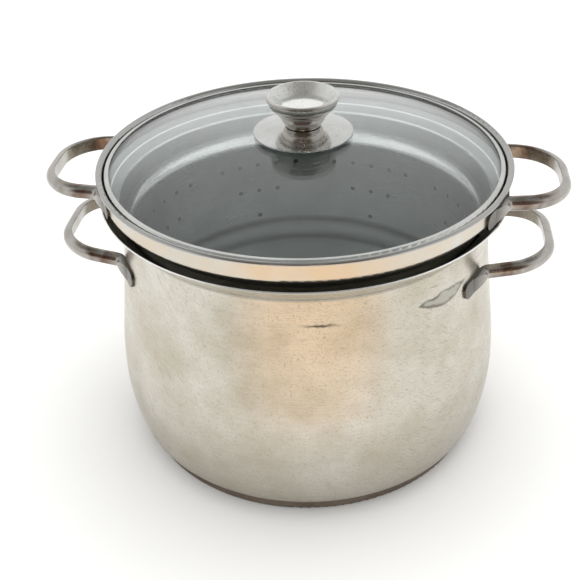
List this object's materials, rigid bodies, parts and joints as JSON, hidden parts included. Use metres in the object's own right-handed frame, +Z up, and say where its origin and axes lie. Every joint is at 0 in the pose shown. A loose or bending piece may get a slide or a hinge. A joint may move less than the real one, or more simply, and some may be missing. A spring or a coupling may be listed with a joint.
{
  "type": "steamer pot",
  "caption": "Bellied stainless steel pot with a lift-out perforated steamer basket, a domed glass lid with a dished steel knob, and bent strap handles on pot and basket",
  "frame": {"origin": "centre of the flat face that the pot stands on", "axes": "+Z up out of the mouth, +X through the handles, +Y to the back"},
  "size_m": [0.3146, 0.2484, 0.2236],
  "materials": {
    "pot_steel": "satin",
    "base_steel": "satin",
    "core_aluminium": "as rolled",
    "basket_steel": "satin",
    "handle_steel": "polished",
    "rim_steel": "polished",
    "lid_glass": "clear",
    "plate_steel": "mirror polished",
    "knob_steel": "polished",
    "dish_steel": "brushed",
    "button_steel": "polished",
    "fixing_steel": "plain",
    "silicone": "matt"
  },
  "bodies": {
    "pot": {"pot_body": "pot_steel", "base_core": "core_aluminium", "base_cap": "base_steel", "pot_handle_left": "handle_steel", "pot_handle_right": "handle_steel"},
    "basket": {"steamer_basket": "basket_steel", "basket_handle_left": "handle_steel", "basket_handle_right": "handle_steel"},
    "lid": {"lid_glass": "lid_glass", "lid_rim": "rim_steel", "knob_plate": "plate_steel", "upper_gasket": "silicone", "lower_gasket": "silicone", "screw_washer": "fixing_steel", "knob_screw": "fixing_steel", "knob_body": "knob_steel", "knob_dish": "dish_steel", "knob_button": "button_steel", "knob_boss": "fixing_steel"}
  },
  "joints": [
    {"name": "basket_lift", "type": "slide", "parent": "pot", "child": "basket", "axis": [0, 0, 1], "range_m": [0, 0.12]},
    {"name": "lid_lift", "type": "slide", "parent": "basket", "child": "lid", "axis": [0, 0, 1], "range_m": [0, 0.06]}
  ]
}
